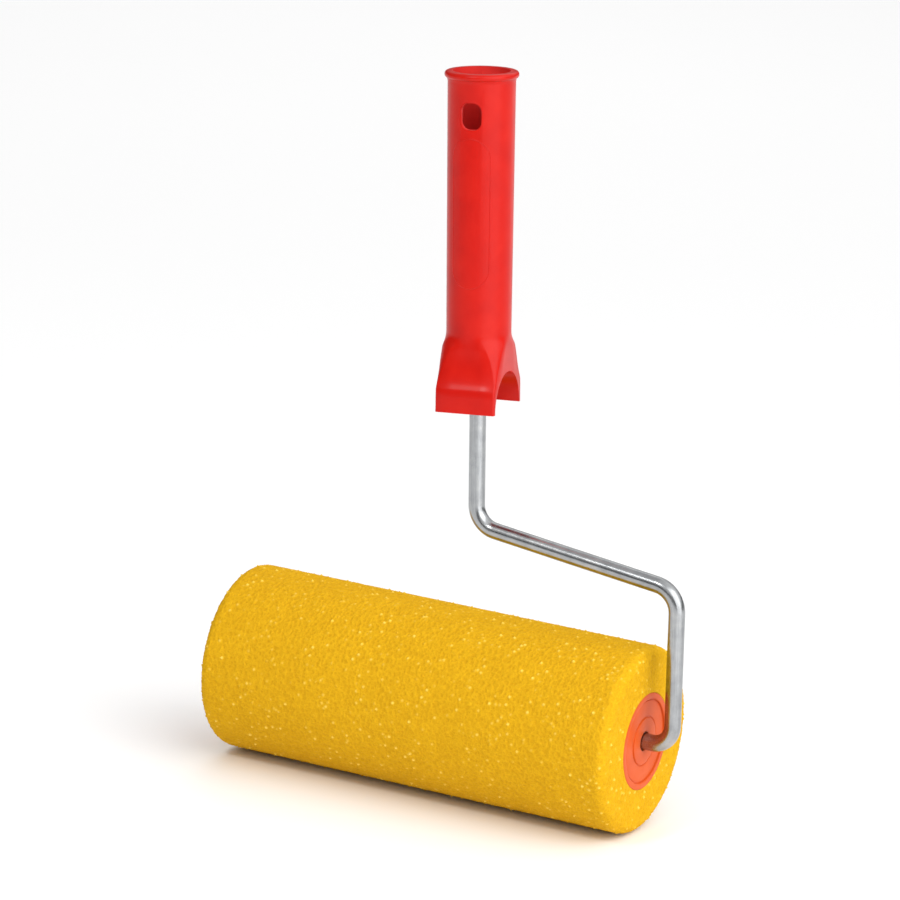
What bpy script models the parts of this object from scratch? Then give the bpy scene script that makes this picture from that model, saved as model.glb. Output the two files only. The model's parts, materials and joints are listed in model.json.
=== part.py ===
"""Paint roller with an 18 cm coarse foam cover on a bent wire frame, with a hollow moulded handle.

Frame: +Z up, +X along the roller towards the wire's leg, +Y away from the front of the handle.
The origin is at the bottom centre of the object's box, so the roller stands on the plane z = 0.
The roller turns on the straight end of the wire, the axle, which lies level along X.
Dimensions are metres and degrees.
"""
import math

import bmesh
import bpy
from mathutils import Vector

# Roller
ROLLER_LENGTH = 0.180
ROLLER_RADIUS = 0.0372
ROLLER_EDGE_RADIUS = 0.004
ROLLER_EDGE_STEPS = 4
ROLLER_X = -0.00705
CORE_RADIUS = 0.018
CORE_WALL = 0.0024
GAP = 0.0003

# End caps and what runs in them
CAP_RADIUS = 0.01925
CAP_FLANGE = 0.0018
CAP_RIM_INNER = 0.01675
CAP_FACE_DROP = 0.0006
CAP_BOSS_RADIUS = 0.0094
CAP_BOSS_DROP = 0.0003
CAP_HOLE_RADIUS = 0.0038
CAP_PLUG_LENGTH = 0.014
CAP_PLUG_WALL = 0.0018
CAP_HUB_RADIUS = 0.0075
CAP_HUB_LENGTH = 0.0162
CAP_RIB_THICKNESS = 0.0014
CAP_RIB_DROP = 0.0020
CAP_RIB_SINK = 0.0005
BUSH_RADIUS = 0.0053
BUSH_FLANGE_RADIUS = 0.0072
BUSH_FLANGE = 0.0012
WASHER_RADIUS = 0.0058
WASHER_THICKNESS = 0.0008

# Wire frame, as corners of its centre line in the plane y = 0, from the roller's centre
WIRE_RADIUS = 0.00325
CROSSBAR_START = Vector((0.0103, 0.0, 0.0721))
LEG_TOP = Vector((0.0985, 0.0, 0.0619))
AXLE_CORNER = Vector((0.1013, 0.0, 0.0))
CROSSBAR_BEND = 0.0100
LEG_BEND = 0.0105
AXLE_BEND = 0.0080
AXLE_END = 0.0005
CRIMP_LENGTH = 0.005
CRIMP_WIDTH = 0.0092
CRIMP_THICKNESS = 0.0022
WIRE_RING_STEPS = 4

# Handle, in its own frame: the axis is Z, the bottom of the skirt is z = 0
HANDLE_LEAN = 3.6
HANDLE_TWIST = 9.0
NECK_LENGTH = 0.0474
HANDLE_LENGTH = 0.1313
TUBE_TOP_RADIUS = 0.01315
TUBE_BOTTOM_RADIUS = 0.01264
RIM_RADIUS = 0.01439
RIM_DEPTH = 0.0030
RIM_TAPER = 0.0052
RIM_ROUNDING = 0.0004
RIM_FLAT_RADIUS = 0.0129
SOCKET_TOP_RADIUS = 0.0112
SOCKET_FLOOR_RADIUS = 0.0102
SOCKET_FLOOR = 0.0460
WEB_BOTTOM = 0.0410
BOSS_RADIUS = 0.0056
BOSS_TOP = 0.0632
BOSS_RIB_THICKNESS = 0.0020
WIRE_SEAT = 0.0600
SKIRT_HEIGHT = 0.0300
SKIRT_BEND = 0.0082
SKIRT_FLARE = 2.6
SKIRT_HALF_WIDTH = 0.0120
SKIRT_HALF_DEPTH = 0.0165
SKIRT_BEND_DEPTH = 0.0161
SKIRT_SQUARE_BELOW = 0.0060
SKIRT_CORNER_FLAT = 0.6
SKIRT_CORNER_STEPS = 10
SKIRT_ROWS = (0.0, 0.0055, SKIRT_BEND, 0.0105, 0.013, 0.016, 0.019, 0.022, 0.025, 0.0278, SKIRT_HEIGHT)
ARCH_RADIUS = 0.0146
POCKET_MOUTH = 0.0040
POCKET_DRAFT = 0.0004
HANG_HOLE_WIDTH = 0.0086
HANG_HOLE_HEIGHT = 0.0105
HANG_HOLE_CORNER = 0.0034
HANG_HOLE_DRAFT = 0.20
HANG_HOLE_Z = 0.1150

# Fineness
ROUND_STEPS = 64
HUB_STEPS = 32
CAP_STEPS = 48
ARC_POINTS = 7
SHARP_ANGLE = 35.0
MERGE_DISTANCE = 0.000005
OVERSHOOT = 0.002
LEAST_STEP = 0.0006

COLOURS = {
    "red_plastic": ((0.82, 0.03, 0.02), 0.35, 0.0),
    "zinc_wire": ((0.60, 0.61, 0.62), 0.30, 1.0),
    "yellow_foam": ((0.90, 0.55, 0.02), 0.85, 0.0),
    "orange_plastic": ((0.93, 0.16, 0.04), 0.45, 0.0),
    "grey_core": ((0.45, 0.42, 0.38), 0.70, 0.0),
    "white_nylon": ((0.85, 0.84, 0.80), 0.40, 0.0),
    "steel_washer": ((0.55, 0.55, 0.56), 0.35, 1.0),
}

for old in list(bpy.data.objects):
    bpy.data.objects.remove(old, do_unlink=True)

parts = bpy.data.collections.new("paint_roller")
cutters = bpy.data.collections.new("cutters")
bpy.context.scene.collection.children.link(parts)
bpy.context.scene.collection.children.link(cutters)


def material(name):
    """A Principled material with the named colour, roughness and metallic value."""
    found = bpy.data.materials.get(name)
    if found:
        return found
    colour, roughness, metallic = COLOURS[name]
    made = bpy.data.materials.new(name)
    made.use_nodes = True
    shader = made.node_tree.nodes["Principled BSDF"]
    shader.inputs["Base Color"].default_value = (*colour, 1.0)
    shader.inputs["Roughness"].default_value = roughness
    shader.inputs["Metallic"].default_value = metallic
    return made


def empty(name, location, parent=None):
    """An empty that carries a group of pieces."""
    made = bpy.data.objects.new(name, None)
    made.location = location
    made.parent = parent
    parts.objects.link(made)
    return made


def add(name, mesh, parent, finish=None):
    """A mesh object: a part when it has a finish, or else a cutter."""
    made = bpy.data.objects.new(name, mesh)
    made.parent = parent
    if finish:
        parts.objects.link(made)
        mesh.materials.append(material(finish))
    else:
        cutters.objects.link(made)
        made.hide_render = True
        made.display_type = "WIRE"
    return made


def face_outwards(mesh, merge=0.0):
    """Merge doubled points where asked, and turn every face outwards."""
    shape = bmesh.new()
    shape.from_mesh(mesh)
    if merge:
        bmesh.ops.remove_doubles(shape, verts=shape.verts, dist=merge)
    bmesh.ops.recalc_face_normals(shape, faces=shape.faces)
    shape.to_mesh(mesh)
    shape.free()


def shade_round(mesh):
    """Shade smooth, and leave the crisp edges crisp."""
    mesh.shade_smooth()
    mesh.set_sharp_from_angle(angle=math.radians(SHARP_ANGLE))


def turned(name, profile, parent, finish=None, closed=True, steps=ROUND_STEPS):
    """Turn (radius, height) points about Z, running down the outer side and back up the inner."""
    mesh = bpy.data.meshes.new(name)
    count = len(profile)
    edges = [(i, i + 1) for i in range(count - 1)]
    if closed:
        edges.append((count - 1, 0))
    mesh.from_pydata([(radius, 0.0, height) for radius, height in profile], edges, [])
    made = add(name, mesh, parent, finish)
    screw = made.modifiers.new("turn", "SCREW")
    screw.axis = "Z"
    screw.steps = steps
    screw.render_steps = steps
    screw.use_smooth_shade = True
    screw.use_merge_vertices = True
    screw.merge_threshold = MERGE_DISTANCE
    return made


def block(name, size, centre, parent, finish=None):
    """A box of the given size."""
    shape = bmesh.new()
    bmesh.ops.create_cube(shape, size=1.0)
    bmesh.ops.scale(shape, vec=size, verts=shape.verts)
    bmesh.ops.translate(shape, vec=centre, verts=shape.verts)
    mesh = bpy.data.meshes.new(name)
    shape.to_mesh(mesh)
    shape.free()
    return add(name, mesh, parent, finish)


def boolean(piece, tool, operation):
    """Cut or join one piece with another."""
    step = piece.modifiers.new(tool.name, "BOOLEAN")
    step.operation = operation
    step.solver = "EXACT"
    step.object = tool


def solid_from_curve(curve, name, parent, finish=None):
    """Make a closed mesh of a curve object, keep its place, and remove the curve."""
    bpy.context.view_layer.update()
    depsgraph = bpy.context.evaluated_depsgraph_get()
    mesh = bpy.data.meshes.new_from_object(curve.evaluated_get(depsgraph))
    place = curve.matrix_world.copy()
    mesh.materials.clear()
    face_outwards(mesh, MERGE_DISTANCE)
    shade_round(mesh)
    mesh.name = name
    bpy.data.objects.remove(curve, do_unlink=True)
    made = add(name, mesh, parent, finish)
    made.matrix_world = place
    return made


def poly_curve(name, points):
    """A curve object with one POLY spline."""
    curve = bpy.data.curves.new(name, "CURVE")
    curve.dimensions = "3D"
    spline = curve.splines.new("POLY")
    spline.points.add(len(points) - 1)
    for place, point in zip(spline.points, points):
        place.co = (*point, 1.0)
    made = bpy.data.objects.new(name, curve)
    cutters.objects.link(made)
    return made


def bend(before, corner, after, radius):
    """Points on the arc that rounds a corner of a centre line."""
    back = (before - corner).normalized()
    onward = (after - corner).normalized()
    half = back.angle(onward) / 2
    middle = (back + onward).normalized()
    centre = corner + middle * (radius / math.sin(half))
    first = corner + back * (radius / math.tan(half)) - centre
    last = corner + onward * (radius / math.tan(half)) - centre
    turn = first.angle(last)
    points = []
    for i in range(ARC_POINTS):
        share = i / (ARC_POINTS - 1)
        a = math.sin((1 - share) * turn) / math.sin(turn)
        b = math.sin(share * turn) / math.sin(turn)
        points.append(centre + first * a + last * b)
    return points


# The two groups of pieces: the roller turns about X, and the handle leans in the wire's plane.
roller_centre = Vector((ROLLER_X, 0.0, ROLLER_RADIUS))
roller_axis = empty("roller_axis", roller_centre)
roller_axis.rotation_euler.y = math.radians(90)
handle_up = Vector((-math.sin(math.radians(HANDLE_LEAN)), 0.0, math.cos(math.radians(HANDLE_LEAN))))
handle_base = roller_centre + CROSSBAR_START + handle_up * NECK_LENGTH
handle_axis = empty("handle_axis", handle_base)
handle_axis.rotation_euler.y = -math.radians(HANDLE_LEAN)


# Handle --------------------------------------------------------------------------------------

def squareness(z):
    """How square the skirt is at a height: 0.2 on the round tube, 1 at the bottom."""
    if z <= SKIRT_SQUARE_BELOW:
        return 1.0
    share = (z - SKIRT_SQUARE_BELOW) / (SKIRT_HEIGHT + LEAST_STEP - SKIRT_SQUARE_BELOW)
    return max(0.2, (1 - share ** 1.7) ** 0.6)


def skirt_depth(z):
    """Half-depth of the skirt: it flares from the tube to the bend, then stands almost upright."""
    if z <= SKIRT_BEND:
        return SKIRT_HALF_DEPTH + (SKIRT_BEND_DEPTH - SKIRT_HALF_DEPTH) * z / SKIRT_BEND
    share = (SKIRT_HEIGHT - z) / (SKIRT_HEIGHT - SKIRT_BEND)
    return TUBE_BOTTOM_RADIUS + (SKIRT_BEND_DEPTH - TUBE_BOTTOM_RADIUS) * share ** SKIRT_FLARE


def skirt_quadrant(z):
    """A quarter of the skirt's section: half a flat front, a corner that flattens, half a flat side."""
    drop = (SKIRT_HEIGHT - z) / SKIRT_HEIGHT
    wide = TUBE_BOTTOM_RADIUS + (SKIRT_HALF_WIDTH - TUBE_BOTTOM_RADIUS) * min(1.0, 2 * drop)
    deep = skirt_depth(z)
    square = squareness(z)
    chamfer = SKIRT_CORNER_FLAT * min(1.0, 5 * drop)
    front = wide * min(square, 1 - LEAST_STEP / wide)
    side = deep * min(square, 1 - LEAST_STEP / deep)
    points = [(0.0, deep), (front / 2, deep)]
    for i in range(SKIRT_CORNER_STEPS + 1):
        share = i / SKIRT_CORNER_STEPS
        quarter = share * math.pi / 2
        across = (1 - chamfer) * math.sin(quarter) + chamfer * share
        along = (1 - chamfer) * math.cos(quarter) + chamfer * (1 - share)
        points.append((front + (wide - front) * across, side + (deep - side) * along))
    points.append((wide, side / 2))
    return points


def full_ring(quadrant, z):
    """Mirror a quarter section into a whole ring at a height."""
    right = quadrant + [(x, -y) for x, y in [(quadrant[-1][0], 0.0)] + quadrant[::-1][:-1]]
    left = [(-x, -y) for x, y in quadrant] + [(-quadrant[-1][0], 0.0)]
    left += [(-x, y) for x, y in quadrant[::-1][:-1]]
    ring = right + left
    return [(x, y, z) for x, y in ring[::-1]]


def round_ring(radius, z):
    """A circle with its points at the angles of the skirt's top ring."""
    quadrant = []
    for x, y in skirt_quadrant(SKIRT_HEIGHT):
        angle = math.atan2(x, y)
        quadrant.append((radius * math.sin(angle), radius * math.cos(angle)))
    return full_ring(quadrant, z)


def handle_body():
    """Loft the outside of the handle: a square skirt that turns into a round tapered tube with a rim."""
    rings = []
    for z in SKIRT_ROWS:
        rings.append(full_ring(skirt_quadrant(z), z))
    top = HANDLE_LENGTH
    outline = (
        (TUBE_BOTTOM_RADIUS, SKIRT_HEIGHT + 2 * LEAST_STEP),
        (TUBE_TOP_RADIUS, top - RIM_TAPER),
        (RIM_RADIUS - RIM_ROUNDING, top - RIM_DEPTH),
        (RIM_RADIUS, top - 0.6 * RIM_DEPTH),
        (RIM_RADIUS - RIM_ROUNDING, top - 0.25 * RIM_DEPTH),
        (RIM_FLAT_RADIUS, top),
    )
    for radius, z in outline:
        rings.append(round_ring(radius, z))
    count = len(rings[0])
    points = [point for ring in rings for point in ring]
    faces = [tuple(range(count))[::-1]]
    faces.append(tuple(range(len(points) - count, len(points))))
    for level in range(len(rings) - 1):
        low = level * count
        for i in range(count):
            after = (i + 1) % count
            faces.append((low + i, low + after, low + count + after, low + count + i))
    mesh = bpy.data.meshes.new("handle")
    mesh.from_pydata(points, [], faces)
    face_outwards(mesh)
    shade_round(mesh)
    made = add("handle", mesh, handle_axis, "red_plastic")
    made.rotation_euler.z = math.radians(HANDLE_TWIST)
    return made


def hang_hole_outline(share):
    """Rectangle with round corners, upright in XZ: the hanging hole's outline, scaled by a share."""
    points = []
    for right, up in ((1, 1), (-1, 1), (-1, -1), (1, -1)):
        quarter = []
        for i in range(ARC_POINTS):
            angle = math.pi / 2 * i / (ARC_POINTS - 1)
            x = HANG_HOLE_WIDTH / 2 - HANG_HOLE_CORNER + HANG_HOLE_CORNER * math.cos(angle)
            z = HANG_HOLE_HEIGHT / 2 - HANG_HOLE_CORNER + HANG_HOLE_CORNER * math.sin(angle)
            quarter.append((right * share * x, up * share * z))
        points += quarter if right == up else quarter[::-1]
    return points


def hang_hole_cutter(parent):
    """A prism from front to back that narrows evenly, so that the hole is smaller in the back wall."""
    reach = 2 * TUBE_TOP_RADIUS
    points = []
    for y in (-reach, reach):
        share = 1 - HANG_HOLE_DRAFT * (y / TUBE_TOP_RADIUS + 1) / 2
        points += [(x, y, HANG_HOLE_Z + z) for x, z in hang_hole_outline(share)]
    count = len(points) // 2
    faces = [tuple(range(count)), tuple(range(count, 2 * count))]
    for i in range(count):
        after = (i + 1) % count
        faces.append((i, after, count + after, count + i))
    mesh = bpy.data.meshes.new("hang_hole_cutter")
    mesh.from_pydata(points, [], faces)
    face_outwards(mesh)
    return add("hang_hole_cutter", mesh, parent)


def handle_cutters(handle):
    """Open the socket, the pocket round the wire boss, the arch, the hanging hole and the wire seat."""
    socket = turned("socket_cutter", [
        (0.0, HANDLE_LENGTH + OVERSHOOT),
        (SOCKET_TOP_RADIUS, HANDLE_LENGTH + OVERSHOOT),
        (SOCKET_TOP_RADIUS, HANDLE_LENGTH),
        (SOCKET_FLOOR_RADIUS, SOCKET_FLOOR),
        (BOSS_RADIUS, SOCKET_FLOOR),
        (BOSS_RADIUS - POCKET_DRAFT, BOSS_TOP),
        (0.0, BOSS_TOP),
    ], handle, closed=False, steps=HUB_STEPS)
    pocket = turned("pocket_cutter", [
        (SOCKET_FLOOR_RADIUS - POCKET_DRAFT, WEB_BOTTOM),
        (SOCKET_FLOOR_RADIUS, POCKET_MOUTH),
        (BOSS_RADIUS, POCKET_MOUTH),
        (BOSS_RADIUS, WEB_BOTTOM),
    ], handle, steps=HUB_STEPS)
    middle = Vector((0.0, 0.0, (WEB_BOTTOM + OVERSHOOT) / 2))
    reach = 3 * SOCKET_FLOOR_RADIUS
    tall = WEB_BOTTOM + 5 * OVERSHOOT
    rib_across = block("rib_across", (reach, BOSS_RIB_THICKNESS, tall), middle, handle)
    rib_along = block("rib_along", (BOSS_RIB_THICKNESS, reach, tall), middle, handle)
    boolean(pocket, rib_across, "DIFFERENCE")
    boolean(pocket, rib_along, "DIFFERENCE")
    arch = turned("arch_cutter", [
        (0.0, 2 * SKIRT_HALF_WIDTH),
        (ARCH_RADIUS, 2 * SKIRT_HALF_WIDTH),
        (ARCH_RADIUS, -2 * SKIRT_HALF_WIDTH),
        (0.0, -2 * SKIRT_HALF_WIDTH),
    ], handle, closed=False)
    arch.rotation_euler.y = math.radians(90)
    slot = hang_hole_cutter(handle)
    seat = turned("wire_seat_cutter", [
        (0.0, WIRE_SEAT + GAP),
        (WIRE_RADIUS + GAP, WIRE_SEAT + GAP),
        (WIRE_RADIUS + GAP, -OVERSHOOT),
        (0.0, -OVERSHOOT),
    ], handle, closed=False, steps=HUB_STEPS)
    for tool in (socket, pocket, arch, slot, seat):
        boolean(handle, tool, "DIFFERENCE")


# Wire frame ----------------------------------------------------------------------------------

def hub_inner_end():
    """Distance from the roller's centre to the inner end of a cap's hub."""
    return ROLLER_LENGTH / 2 - CAP_FLANGE - CAP_HUB_LENGTH


def washer_outer_end():
    """Distance from the roller's centre to a washer's outer face, just inside the bush's flange."""
    return hub_inner_end() - GAP - BUSH_FLANGE - GAP


def wire_frame():
    """Bend the wire from the handle over the roller, down the leg and back through it as the axle."""
    seat = CROSSBAR_START + handle_up * (NECK_LENGTH + WIRE_SEAT)
    free_end = Vector((AXLE_END - ROLLER_LENGTH / 2, 0.0, 0.0))
    points = [seat]
    points += bend(seat, CROSSBAR_START, LEG_TOP, CROSSBAR_BEND)
    points += bend(CROSSBAR_START, LEG_TOP, AXLE_CORNER, LEG_BEND)
    points += bend(LEG_TOP, AXLE_CORNER, free_end, AXLE_BEND)
    points.append(free_end)
    curve = poly_curve("wire_path", [roller_centre + point for point in points])
    curve.data.bevel_depth = WIRE_RADIUS
    curve.data.bevel_resolution = WIRE_RING_STEPS
    curve.data.use_fill_caps = True
    wire = solid_from_curve(curve, "wire_frame", None, "zinc_wire")
    middle = washer_outer_end() - WASHER_THICKNESS - GAP - CRIMP_LENGTH / 2
    for side, name in ((1, "right_crimp"), (-1, "left_crimp")):
        centre = roller_centre + Vector((side * middle, 0.0, 0.0))
        crimp = block(name, (CRIMP_LENGTH, CRIMP_THICKNESS, CRIMP_WIDTH), centre, None)
        boolean(wire, crimp, "UNION")


# Roller --------------------------------------------------------------------------------------

def foam_cover():
    """A thick foam tube with rounded outer edges and a shallow seat for each cap's flange."""
    half = ROLLER_LENGTH / 2
    edge = ROLLER_EDGE_RADIUS
    bore = CORE_RADIUS + GAP
    seat = CAP_RADIUS + GAP
    seat_floor = half - CAP_FLANGE - GAP
    rounding = []
    for i in range(ROLLER_EDGE_STEPS + 1):
        angle = math.pi / 2 * i / ROLLER_EDGE_STEPS
        radius = ROLLER_RADIUS - edge + edge * math.sin(angle)
        rounding.append((radius, half - edge + edge * math.cos(angle)))
    outer = rounding + [(radius, -height) for radius, height in rounding[::-1]]
    inner = [(seat, -half), (seat, -seat_floor), (bore, -seat_floor)]
    inner += [(radius, -height) for radius, height in inner[::-1]]
    turned("foam_cover", outer + inner, roller_axis, "yellow_foam")


def core_tube():
    """The stiff tube that carries the foam."""
    end = ROLLER_LENGTH / 2 - CAP_FLANGE - GAP
    inner = CORE_RADIUS - CORE_WALL
    turned("core_tube", [(CORE_RADIUS, end), (CORE_RADIUS, -end), (inner, -end), (inner, end)],
           roller_axis, "grey_core", steps=CAP_STEPS)


def end_cap(name, turn):
    """A plug with a ringed face, a hub for the bush and four ribs between hub and plug."""
    face = ROLLER_LENGTH / 2
    under = face - CAP_FLANGE
    plug = CORE_RADIUS - CORE_WALL - GAP
    plug_end = under - CAP_PLUG_LENGTH
    inside = plug - CAP_PLUG_WALL
    recess = face - CAP_FACE_DROP
    boss = face - CAP_BOSS_DROP
    hub_seat = BUSH_RADIUS + GAP
    cap = turned(name, [
        (CAP_BOSS_RADIUS, boss),
        (CAP_BOSS_RADIUS, recess),
        (CAP_RIM_INNER, recess),
        (CAP_RIM_INNER, face),
        (CAP_RADIUS, face),
        (CAP_RADIUS, under),
        (plug, under),
        (plug, plug_end),
        (inside, plug_end),
        (inside, under),
        (CAP_HUB_RADIUS, under),
        (CAP_HUB_RADIUS, hub_inner_end()),
        (hub_seat, hub_inner_end()),
        (hub_seat, under),
        (CAP_HOLE_RADIUS, under),
        (CAP_HOLE_RADIUS, boss),
    ], roller_axis, "orange_plastic", steps=CAP_STEPS)
    cap.rotation_euler.x = math.radians(turn)
    length = inside - CAP_HUB_RADIUS + 2 * CAP_RIB_SINK
    middle = (inside + CAP_HUB_RADIUS) / 2
    depth = CAP_PLUG_LENGTH - CAP_RIB_DROP + CAP_RIB_SINK
    for number in range(4):
        rib = block(f"{name}_rib_{number}", (length, CAP_RIB_THICKNESS, depth),
                    (middle, 0.0, under + CAP_RIB_SINK - depth / 2), cap)
        rib.rotation_euler.z = math.radians(90 * number + 45)
        boolean(cap, rib, "UNION")


def bush(name, turn):
    """A flanged sleeve, pushed into the hub from inside, that runs on the axle."""
    bore = WIRE_RADIUS + GAP
    outer_end = ROLLER_LENGTH / 2 - CAP_FLANGE - GAP
    flange_top = hub_inner_end() - GAP
    made = turned(name, [
        (BUSH_RADIUS, outer_end),
        (BUSH_RADIUS, flange_top),
        (BUSH_FLANGE_RADIUS, flange_top),
        (BUSH_FLANGE_RADIUS, flange_top - BUSH_FLANGE),
        (bore, flange_top - BUSH_FLANGE),
        (bore, outer_end),
    ], roller_axis, "white_nylon", steps=HUB_STEPS)
    made.rotation_euler.x = math.radians(turn)


def washer(name, side):
    """A flat ring on the axle between a bush's flange and the crimped ears of the wire."""
    bore = WIRE_RADIUS + GAP
    outer_end = washer_outer_end()
    profile = [
        (WASHER_RADIUS, outer_end),
        (WASHER_RADIUS, outer_end - WASHER_THICKNESS),
        (bore, outer_end - WASHER_THICKNESS),
        (bore, outer_end),
    ]
    made = turned(name, profile, None, "steel_washer", steps=HUB_STEPS)
    made.location = roller_centre
    made.rotation_euler.y = math.radians(90 * side)


handle = handle_body()
handle_cutters(handle)
wire_frame()
foam_cover()
core_tube()
for side_name, end_turn, direction in (("right", 0, 1), ("left", 180, -1)):
    end_cap(side_name + "_end_cap", end_turn)
    bush(side_name + "_bush", end_turn)
    washer(side_name + "_washer", direction)
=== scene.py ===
import json
import math
import bmesh
import bpy
import numpy as np
from mathutils import Matrix, Vector


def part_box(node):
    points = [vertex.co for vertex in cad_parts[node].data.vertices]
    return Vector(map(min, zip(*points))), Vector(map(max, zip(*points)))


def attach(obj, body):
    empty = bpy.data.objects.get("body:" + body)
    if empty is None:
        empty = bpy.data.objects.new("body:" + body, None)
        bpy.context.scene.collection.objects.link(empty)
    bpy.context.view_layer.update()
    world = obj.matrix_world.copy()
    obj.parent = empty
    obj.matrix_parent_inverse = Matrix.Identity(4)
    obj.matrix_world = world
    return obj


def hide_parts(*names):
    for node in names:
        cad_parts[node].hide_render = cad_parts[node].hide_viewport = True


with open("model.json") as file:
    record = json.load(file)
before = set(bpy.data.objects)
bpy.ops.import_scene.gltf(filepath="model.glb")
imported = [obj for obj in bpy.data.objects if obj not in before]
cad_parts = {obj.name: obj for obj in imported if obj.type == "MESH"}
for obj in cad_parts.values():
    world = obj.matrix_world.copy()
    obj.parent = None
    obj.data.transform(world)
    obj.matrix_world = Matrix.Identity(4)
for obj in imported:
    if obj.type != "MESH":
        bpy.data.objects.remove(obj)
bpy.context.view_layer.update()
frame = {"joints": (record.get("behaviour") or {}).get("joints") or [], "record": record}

# Places and sizes, all from the frame -----------------------------------------------------------
mounts = {mount["name"]: mount for mount in frame["record"]["mounts"]}
spin = frame["joints"][0]
ROLLER_CENTRE = np.array(spin["pos_m"])
foam_low, foam_high = (np.array(corner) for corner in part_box("foam_cover"))
cap_low, cap_high = (np.array(corner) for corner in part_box("right_end_cap"))
wire_low, wire_high = (np.array(corner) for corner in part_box("wire_frame"))
ROLLER_HALF = (foam_high[0] - foam_low[0]) / 2
FOAM_RADIUS = (foam_high[2] - foam_low[2]) / 2
CAP_RADIUS = (cap_high[2] - cap_low[2]) / 2
WIRE_RADIUS = (wire_high[1] - wire_low[1]) / 2
HANDLE_TOP = np.array(mounts["pole_socket"]["pos_m"])
HANDLE_UP = np.array(mounts["pole_socket"]["axis"])
GAP = 0.0003
ROUND_STEPS = 128
SMALL_ROUND_STEPS = 80
OVERSHOOT = 0.002

# Foam. The widths of walls, joints, stubs and glints are in cells
FOAM_EDGE = 0.0042
FOAM_STEP = 0.00034
FOAM_ON_CAP = 0.00005
FOAM_BORE_DEPTH = 0.03
FOAM_PLAIN_RIM = 0.0008
CELL = 0.0017
CELL_SCATTER = 0.9
CELL_DEPTH = 0.00055
WALL_WIDTH = 0.16
JOINT_WIDTH = 0.22
STUB_HEIGHT = 0.0009
STUB_WIDTH = 0.34
STUB_FROM = 0.5
GLINT_WIDTH = 0.36
GLINT_FROM = 0.83
CORE_RADIUS = 0.018
CORE_WALL = 0.0024

# Finishes
# The pit and strut colours paint shade into the cells and light onto the struts
FOAM_PIT_PAINTED_SHADE = (0.715, 0.392, 0.0095)
FOAM_BODY = (0.75, 0.42, 0.0105)
FOAM_STRUT_PAINTED_LIGHT = (0.775, 0.44, 0.0115)
# A painted highlight: the pale colour of a stub's end that catches the light
FOAM_PAINTED_GLINT = (1.0, 0.72, 0.12)
ZINC_DARK = (0.31, 0.32, 0.33)
ZINC_BODY = (0.42, 0.43, 0.44)
ZINC_LIGHT = (0.52, 0.52, 0.51)
RED_SHADES = ((0.485, 0.0055, 0.0022), (0.53, 0.007, 0.0026), (0.57, 0.010, 0.0035))
RED_LIT_THROUGH = (0.90, 0.07, 0.065)
ORANGE_SHADES = ((0.61, 0.078, 0.007), (0.66, 0.092, 0.010), (0.70, 0.106, 0.013))
WHITE_SHADES = ((0.70, 0.70, 0.66), (0.78, 0.78, 0.74), (0.83, 0.83, 0.80))
GREY_SHADES = ((0.24, 0.24, 0.25), (0.30, 0.30, 0.31), (0.35, 0.35, 0.36))
PLAIN_WHITE = (1.0, 1.0, 1.0)

# Caps
CAP_FLANGE = 0.0018
CAP_RECESS = 0.0006
CAP_BOSS_DROP = 0.0003
CAP_GROOVE = 0.0006
CAP_GROOVE_DEPTH = 0.00028
CAP_HOLE = 0.0038
CAP_BOSS = 0.0094
CAP_RIM = 0.01675
CAP_PLUG = 0.0140
CAP_WALL = 0.0018
CAP_HUB = 0.0075
CAP_HUB_LENGTH = 0.0162
CAP_RIB = 0.0014
CAP_RIB_LAP = 0.001
CAP_RIB_STEP = 0.002
CAP_RIB_SINK = 0.0004
BUSH_RADIUS = 0.0053
BUSH_FLANGE_RADIUS = 0.0072
BUSH_FLANGE = 0.0012
WASHER_RADIUS = 0.0058
WASHER_THICKNESS = 0.0008

# Wire, as corners of its centre line from the roller's centre, with the bend at each
CROSSBAR_START = np.array((0.0103, 0.0, 0.0721))
LEG_TOP = np.array((0.0985, 0.0, 0.0619))
AXLE_CORNER = np.array((0.1013, 0.0, 0.0))
BENDS = (0.0100, 0.0105, 0.0080)
CRIMP_PLACE = 0.0666
CRIMP_LENGTH = 0.0050
CRIMP_WIDTH = 0.0092
CRIMP_THINNING = 0.16
WIRE_END = 0.0008
WIRE_END_NARROWING = 0.22
WIRE_END_INSIDE_CAP = 0.0005
WIRE_SIDES = 44
WIRE_STEP = 0.0006
NECK_LENGTH = 0.0474
WIRE_SEAT = 0.0600

# Handle, in its own frame: the axis is Z, the bottom of the skirt is z = 0
HANDLE_LENGTH = 0.1313
HANDLE_TWIST = math.radians(9.0)
TUBE_TOP_RADIUS = 0.01315
TUBE_BOTTOM_RADIUS = 0.01264
RIM_RADIUS = 0.01439
BEAD = 0.0014
TUBE_END = 0.0042
BEAD_NECK = 0.0034
SOCKET_TOP_RADIUS = 0.0112
SOCKET_FLOOR_RADIUS = 0.0102
SOCKET_FLOOR = 0.0460
WEB_BOTTOM = 0.0410
BOSS_RADIUS = 0.0056
BOSS_TOP = 0.0632
RIB_THICKNESS = 0.0020
POCKET_BOTTOM = 0.004
EDGE_EASE = 0.0005
SKIRT_HEIGHT = 0.0300
SKIRT_BEND = 0.0082
SKIRT_HALF_WIDTH = 0.0120
SKIRT_HALF_DEPTH = 0.0165
SKIRT_BEND_DEPTH = 0.0161
SKIRT_SQUARE_BELOW = 0.0060
SKIRT_MERGE = 0.0060
SKIRT_FLARE = 2.6
SKIRT_CHAMFER = 0.6
SKIRT_LEAST_CORNER = 0.0006
BEND_BLUR = 0.0015
BEND_SWELL = 0.0005
BEND_SWELL_REACH = 0.0022
ARCH_RADIUS = 0.0146
ARCH_REACH = 0.03
HANG_HOLE_WIDTH = 0.0086
HANG_HOLE_HEIGHT = 0.0105
HANG_HOLE_CORNER = 0.0034
HANG_HOLE_LIP = 0.0009
HANG_HOLE_DRAFT = 0.20
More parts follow.
